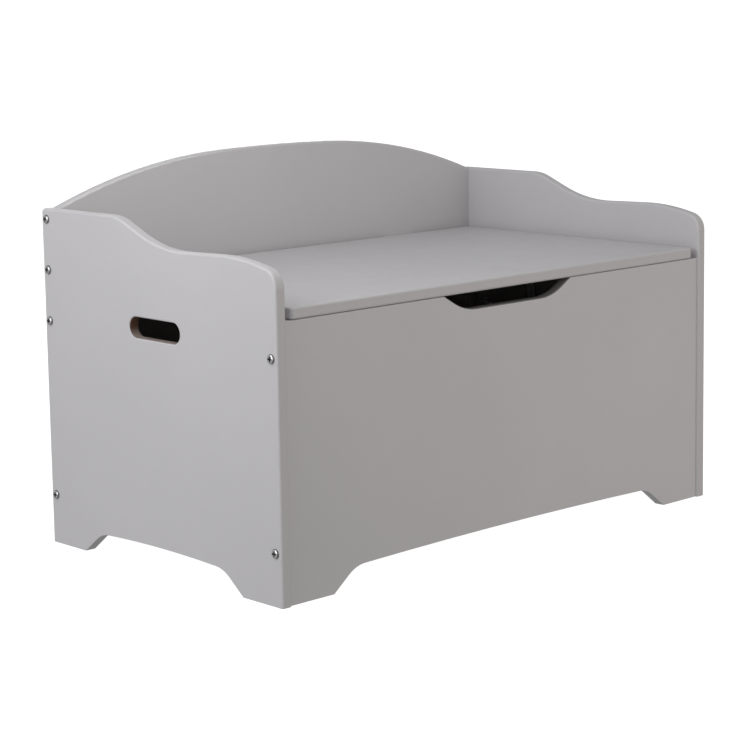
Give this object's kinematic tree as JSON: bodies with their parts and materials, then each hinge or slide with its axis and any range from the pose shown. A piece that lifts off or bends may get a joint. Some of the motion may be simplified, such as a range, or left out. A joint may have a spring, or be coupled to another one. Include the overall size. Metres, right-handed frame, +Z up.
{
  "type": "storage bench",
  "caption": "Lidded storage bench of painted board with a seat lid between scrolled side panels, an arched back, hand holes and a finger cut-out in the front.",
  "frame": {"origin": "on the floor at the middle of the footprint", "axes": "+X to the right for somebody facing the front, front looks along -Y, +Z up"},
  "size_m": [0.8054, 0.47, 0.51],
  "materials": {
    "painted_board": "satin light grey paint on fibreboard",
    "bolt_steel": "bright zinc plated",
    "nut_zinc": "dull zinc plated",
    "dowel_wood": "bare beech",
    "hinge_zinc": "satin nickel plated",
    "screw_zinc": "zinc plated",
    "stay_steel": "zinc plated strip"
  },
  "bodies": {
    "chest": {"left_side_panel": "painted_board", "right_side_panel": "painted_board", "front_panel": "painted_board", "back_panel": "painted_board", "bottom_panel": "painted_board", "left_front_bolts": "bolt_steel", "left_rear_bolts": "bolt_steel", "right_front_bolts": "bolt_steel", "right_rear_bolts": "bolt_steel", "front_barrel_nuts": "nut_zinc", "front_dowels": "dowel_wood", "rear_barrel_nuts": "nut_zinc", "rear_dowels": "dowel_wood", "left_hinge_back_leaf": "hinge_zinc", "left_hinge_pin": "hinge_zinc", "right_hinge_back_leaf": "hinge_zinc", "right_hinge_pin": "hinge_zinc", "hinge_back_screws": "screw_zinc", "left_stay_side_plate": "stay_steel", "left_stay_side_screws": "screw_zinc", "left_stay_side_rivet": "stay_steel", "right_stay_side_plate": "stay_steel", "right_stay_side_screws": "screw_zinc", "right_stay_side_rivet": "stay_steel"},
    "lid": {"lid_seat": "painted_board", "left_hinge_lid_leaf": "hinge_zinc", "right_hinge_lid_leaf": "hinge_zinc", "hinge_lid_screws": "screw_zinc", "stay_lid_screws": "screw_zinc", "left_stay_lid_bracket": "stay_steel", "left_stay_lid_rivet": "stay_steel", "right_stay_lid_bracket": "stay_steel", "right_stay_lid_rivet": "stay_steel"},
    "left_lower_arm": {"left_stay_lower_arm": "stay_steel", "left_stay_elbow_rivet": "stay_steel"},
    "left_upper_arm": {"left_stay_upper_arm": "stay_steel"},
    "right_lower_arm": {"right_stay_lower_arm": "stay_steel", "right_stay_elbow_rivet": "stay_steel"},
    "right_upper_arm": {"right_stay_upper_arm": "stay_steel"}
  },
  "joints": [
    {"name": "lid_hinge", "type": "hinge", "parent": "chest", "child": "lid", "pos_m": [0, 0.2128, 0.3568], "axis": [-1, 0, 0], "range_deg": [0, 90]},
    {"name": "left_stay_side_pivot", "type": "hinge", "parent": "chest", "child": "left_lower_arm", "pos_m": [-0.3822, 0.18847, 0.23929], "axis": [-1, 0, 0], "range_deg": [0, 90]},
    {"name": "left_stay_elbow", "type": "hinge", "parent": "left_lower_arm", "child": "left_upper_arm", "pos_m": [-0.3822, 0.07096, 0.21496], "axis": [-1, 0, 0], "range_deg": [-90, 0]},
    {"name": "right_stay_side_pivot", "type": "hinge", "parent": "chest", "child": "right_lower_arm", "pos_m": [0.3822, 0.18847, 0.23929], "axis": [-1, 0, 0], "range_deg": [0, 90]},
    {"name": "right_stay_elbow", "type": "hinge", "parent": "right_lower_arm", "child": "right_upper_arm", "pos_m": [0.3822, 0.07096, 0.21496], "axis": [-1, 0, 0], "range_deg": [-90, 0]}
  ],
  "couplings": [
    {"joint": "left_stay_side_pivot", "follows": "lid_hinge", "ratio": 1},
    {"joint": "left_stay_elbow", "follows": "lid_hinge", "ratio": -1},
    {"joint": "right_stay_side_pivot", "follows": "lid_hinge", "ratio": 1},
    {"joint": "right_stay_elbow", "follows": "lid_hinge", "ratio": -1}
  ]
}
